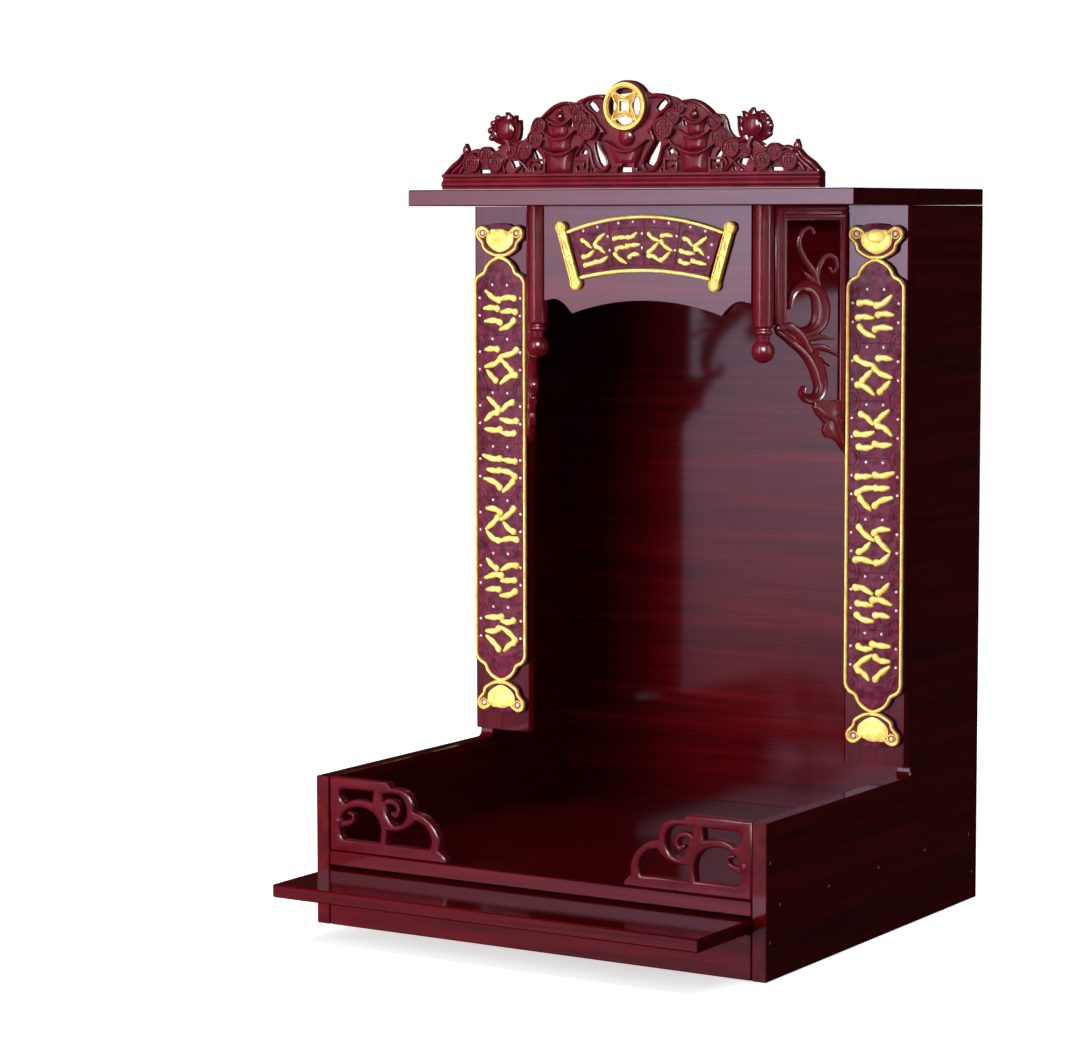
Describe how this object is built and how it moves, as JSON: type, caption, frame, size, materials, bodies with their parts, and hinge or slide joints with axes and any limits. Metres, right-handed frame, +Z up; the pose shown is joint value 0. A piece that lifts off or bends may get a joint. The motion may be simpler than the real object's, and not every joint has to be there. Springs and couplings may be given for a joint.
{
  "type": "household altar cabinet",
  "caption": "Glossy red-brown household altar cabinet with an open niche, a low-walled tray, a pull-out board, a carved crest and porch, and gold plaques.",
  "frame": {"origin": "underside of the base, at the middle of the case's footprint", "axes": "+Z up, the open front faces -Y, +X to the right of someone facing the front"},
  "size_m": [0.39, 0.427, 0.6411],
  "materials": {
    "gloss_lacquer": "high-gloss dark red-brown lacquer",
    "carved_wood": "high-gloss maroon lacquer over carving",
    "gold_paint": "bright gold paint with maroon in the low ground",
    "bare_plywood": "plain stained plywood out of sight"
  },
  "bodies": {
    "cabinet": {"side_board_right": "gloss_lacquer", "side_board_left": "gloss_lacquer", "back_panel": "gloss_lacquer", "floor_board": "gloss_lacquer", "front_apron": "gloss_lacquer", "rear_rail": "bare_plywood", "base_panel": "bare_plywood", "slide_runner_right": "bare_plywood", "slide_runner_left": "bare_plywood", "top_board": "gloss_lacquer", "header_board": "gloss_lacquer", "pilaster_right": "gloss_lacquer", "pilaster_left": "gloss_lacquer", "drop_column_right": "carved_wood", "drop_column_left": "carved_wood", "corner_bracket_right": "carved_wood", "corner_bracket_left": "carved_wood", "fret_plate_right": "carved_wood", "fret_plate_left": "carved_wood", "couplet_plaque_right": "gold_paint", "couplet_plaque_left": "gold_paint", "scroll_plaque": "gold_paint", "crest": "carved_wood", "crest_coin": "gold_paint"},
    "pull_out_board": {"pull_out_board": "gloss_lacquer"}
  },
  "joints": [
    {"name": "board_slide", "type": "slide", "parent": "cabinet", "child": "pull_out_board", "axis": [0, -1, 0], "range_m": [-0.075, 0.125]}
  ]
}
